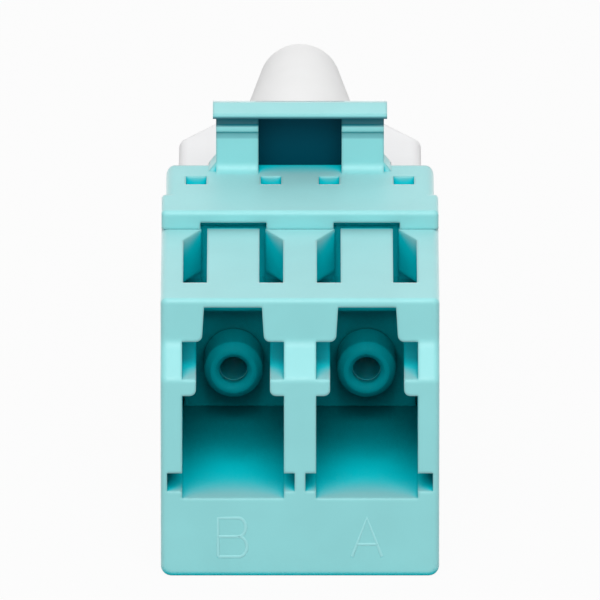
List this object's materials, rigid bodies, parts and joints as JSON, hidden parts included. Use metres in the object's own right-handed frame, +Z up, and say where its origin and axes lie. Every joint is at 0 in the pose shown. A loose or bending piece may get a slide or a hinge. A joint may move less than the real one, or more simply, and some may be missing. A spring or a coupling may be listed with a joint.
{
  "type": "duplex LC receptacle connector",
  "caption": "Duplex LC receptacle for fibre plugs: stepped twin-port housing with alignment sleeves, sprung ferrules, white rear cover and strain relief boot.",
  "frame": {"origin": "in the plane of the port mouths, midway between the two optical axes and level with them", "axes": "+Z up, away from the rest face; +Y along the optical axes into the ports, towards the boot; +X to the right of someone looking into the ports"},
  "size_m": [0.013, 0.0505, 0.0175],
  "materials": {
    "aqua_plastic": "moulded aqua thermoplastic, fine satin",
    "white_plastic": "moulded white plastic, satin",
    "white_rubber": "soft white elastomer, matt",
    "black_plastic": "moulded black plastic, satin",
    "zirconia": "polished white zirconia ceramic",
    "flange_metal": "turned nickel-plated brass",
    "spring_steel": "drawn stainless spring wire",
    "crimp_metal": "plain brass tube, nickel plated"
  },
  "bodies": {
    "shell": {"front_housing": "aqua_plastic", "rear_housing": "aqua_plastic", "sleeve_holder": "aqua_plastic", "sleeve_retainer": "aqua_plastic", "backbone": "black_plastic", "crimp_sleeve": "crimp_metal", "rear_cover": "white_plastic", "boot": "white_rubber", "left_split_sleeve": "zirconia", "left_ferrule_spring": "spring_steel", "left_ferrule_housing": "black_plastic", "right_split_sleeve": "zirconia", "right_ferrule_spring": "spring_steel", "right_ferrule_housing": "black_plastic"},
    "left_ferrule_unit": {"left_ferrule": "zirconia", "left_ferrule_flange": "flange_metal"},
    "right_ferrule_unit": {"right_ferrule": "zirconia", "right_ferrule_flange": "flange_metal"}
  },
  "joints": [
    {"name": "left_ferrule_float", "type": "slide", "parent": "shell", "child": "left_ferrule_unit", "axis": [0, 1, 0], "range_m": [0, 0.0008], "stiffness_N_per_m": 1500, "springref_m": -0.0035, "deforming": ["left_ferrule_spring"]},
    {"name": "right_ferrule_float", "type": "slide", "parent": "shell", "child": "right_ferrule_unit", "axis": [0, 1, 0], "range_m": [0, 0.0008], "stiffness_N_per_m": 1500, "springref_m": -0.0035, "deforming": ["right_ferrule_spring"]}
  ]
}
